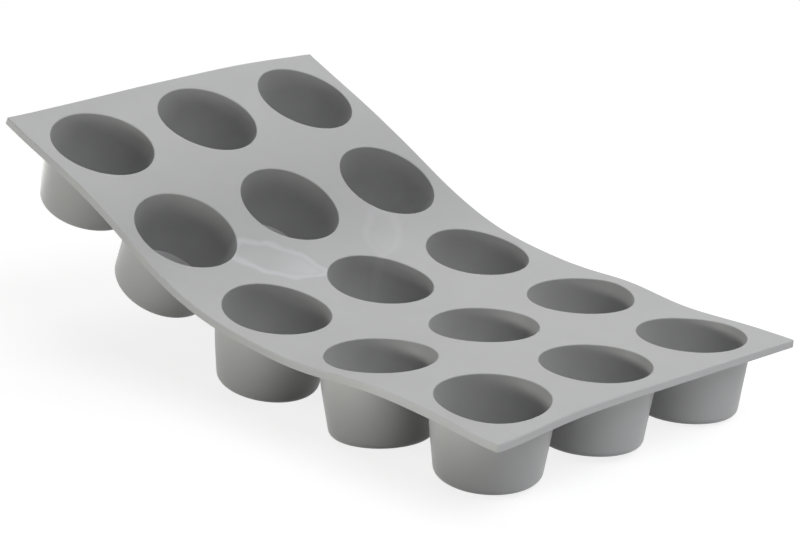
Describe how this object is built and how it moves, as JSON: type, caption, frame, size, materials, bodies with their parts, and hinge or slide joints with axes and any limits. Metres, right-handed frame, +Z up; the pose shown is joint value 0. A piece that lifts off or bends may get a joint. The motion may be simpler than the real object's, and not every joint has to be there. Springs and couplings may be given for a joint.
{
  "type": "silicone mini muffin mould",
  "caption": "Flexible silicone baking sheet with rows of tapered round cups, hinged where it folds between rows, with cup bases that push up to turn cakes out.",
  "frame": {"origin": "on the worktop, under the middle of the mould as it stands curled", "axes": "+X along the mould towards the level front row, +Y across it, +Z up"},
  "size_m": [0.2898, 0.176, 0.0921],
  "materials": {
    "grey_silicone": "satin moulded silicone"
  },
  "bodies": {
    "row_1": {"sheet_band_1": "grey_silicone", "cup_wall_1_1": "grey_silicone", "cup_wall_1_2": "grey_silicone", "cup_wall_1_3": "grey_silicone", "fold_web_1_2": "grey_silicone"},
    "row_2": {"sheet_band_2": "grey_silicone", "cup_wall_2_1": "grey_silicone", "cup_wall_2_2": "grey_silicone", "cup_wall_2_3": "grey_silicone", "fold_web_2_3": "grey_silicone"},
    "row_3": {"sheet_band_3": "grey_silicone", "cup_wall_3_1": "grey_silicone", "cup_wall_3_2": "grey_silicone", "cup_wall_3_3": "grey_silicone", "fold_web_3_4": "grey_silicone"},
    "row_4": {"sheet_band_4": "grey_silicone", "cup_wall_4_1": "grey_silicone", "cup_wall_4_2": "grey_silicone", "cup_wall_4_3": "grey_silicone"},
    "row_5": {"sheet_band_5": "grey_silicone", "cup_wall_5_1": "grey_silicone", "cup_wall_5_2": "grey_silicone", "cup_wall_5_3": "grey_silicone", "fold_web_4_5": "grey_silicone"},
    "base_1_1": {"cup_base_1_1": "grey_silicone"},
    "base_1_2": {"cup_base_1_2": "grey_silicone"},
    "base_1_3": {"cup_base_1_3": "grey_silicone"},
    "base_2_1": {"cup_base_2_1": "grey_silicone"},
    "base_2_2": {"cup_base_2_2": "grey_silicone"},
    "base_2_3": {"cup_base_2_3": "grey_silicone"},
    "base_3_1": {"cup_base_3_1": "grey_silicone"},
    "base_3_2": {"cup_base_3_2": "grey_silicone"},
    "base_3_3": {"cup_base_3_3": "grey_silicone"},
    "base_4_1": {"cup_base_4_1": "grey_silicone"},
    "base_4_2": {"cup_base_4_2": "grey_silicone"},
    "base_4_3": {"cup_base_4_3": "grey_silicone"},
    "base_5_1": {"cup_base_5_1": "grey_silicone"},
    "base_5_2": {"cup_base_5_2": "grey_silicone"},
    "base_5_3": {"cup_base_5_3": "grey_silicone"}
  },
  "joints": [
    {"name": "fold_4_5", "type": "hinge", "parent": "row_4", "child": "row_5", "pos_m": [0.08493, 0, 0.0303], "axis": [0, -1, 0], "range_deg": [-25, 60], "stiffness_Nm_per_rad": 0.1, "deforming": ["fold_web_4_5"]},
    {"name": "fold_3_4", "type": "hinge", "parent": "row_4", "child": "row_3", "pos_m": [0.02493, 0, 0.0303], "axis": [0, 1, 0], "range_deg": [-34, 51], "stiffness_Nm_per_rad": 0.1, "springref_deg": -9, "deforming": ["fold_web_3_4"]},
    {"name": "fold_2_3", "type": "hinge", "parent": "row_3", "child": "row_2", "pos_m": [-0.03438, 0, 0.03969], "axis": [0, 1, 0], "range_deg": [-44.6, 40.4], "stiffness_Nm_per_rad": 0.1, "springref_deg": -19.6, "deforming": ["fold_web_2_3"]},
    {"name": "fold_1_2", "type": "hinge", "parent": "row_2", "child": "row_1", "pos_m": [-0.08709, 0, 0.06843], "axis": [0, 1, 0], "range_deg": [-18, 67], "stiffness_Nm_per_rad": 0.1, "springref_deg": 7, "deforming": ["fold_web_1_2"]},
    {"name": "push_1_1", "type": "slide", "parent": "row_1", "child": "base_1_1", "axis": [0.3681, 0, 0.9298], "range_m": [0, 0.012], "stiffness_N_per_m": 400},
    {"name": "push_1_2", "type": "slide", "parent": "row_1", "child": "base_1_2", "axis": [0.3681, 0, 0.9298], "range_m": [0, 0.012], "stiffness_N_per_m": 400},
    {"name": "push_1_3", "type": "slide", "parent": "row_1", "child": "base_1_3", "axis": [0.3681, 0, 0.9298], "range_m": [0, 0.012], "stiffness_N_per_m": 400},
    {"name": "push_2_1", "type": "slide", "parent": "row_2", "child": "base_2_1", "axis": [0.4787, 0, 0.878], "range_m": [0, 0.012], "stiffness_N_per_m": 400},
    {"name": "push_2_2", "type": "slide", "parent": "row_2", "child": "base_2_2", "axis": [0.4787, 0, 0.878], "range_m": [0, 0.012], "stiffness_N_per_m": 400},
    {"name": "push_2_3", "type": "slide", "parent": "row_2", "child": "base_2_3", "axis": [0.4787, 0, 0.878], "range_m": [0, 0.012], "stiffness_N_per_m": 400},
    {"name": "push_3_1", "type": "slide", "parent": "row_3", "child": "base_3_1", "axis": [0.1564, 0, 0.9877], "range_m": [0, 0.012], "stiffness_N_per_m": 400},
    {"name": "push_3_2", "type": "slide", "parent": "row_3", "child": "base_3_2", "axis": [0.1564, 0, 0.9877], "range_m": [0, 0.012], "stiffness_N_per_m": 400},
    {"name": "push_3_3", "type": "slide", "parent": "row_3", "child": "base_3_3", "axis": [0.1564, 0, 0.9877], "range_m": [0, 0.012], "stiffness_N_per_m": 400},
    {"name": "push_4_1", "type": "slide", "parent": "row_4", "child": "base_4_1", "axis": [0, 0, 1], "range_m": [0, 0.012], "stiffness_N_per_m": 400},
    {"name": "push_4_2", "type": "slide", "parent": "row_4", "child": "base_4_2", "axis": [0, 0, 1], "range_m": [0, 0.012], "stiffness_N_per_m": 400},
    {"name": "push_4_3", "type": "slide", "parent": "row_4", "child": "base_4_3", "axis": [0, 0, 1], "range_m": [0, 0.012], "stiffness_N_per_m": 400},
    {"name": "push_5_1", "type": "slide", "parent": "row_5", "child": "base_5_1", "axis": [0, 0, 1], "range_m": [0, 0.012], "stiffness_N_per_m": 400},
    {"name": "push_5_2", "type": "slide", "parent": "row_5", "child": "base_5_2", "axis": [0, 0, 1], "range_m": [0, 0.012], "stiffness_N_per_m": 400},
    {"name": "push_5_3", "type": "slide", "parent": "row_5", "child": "base_5_3", "axis": [0, 0, 1], "range_m": [0, 0.012], "stiffness_N_per_m": 400}
  ]
}
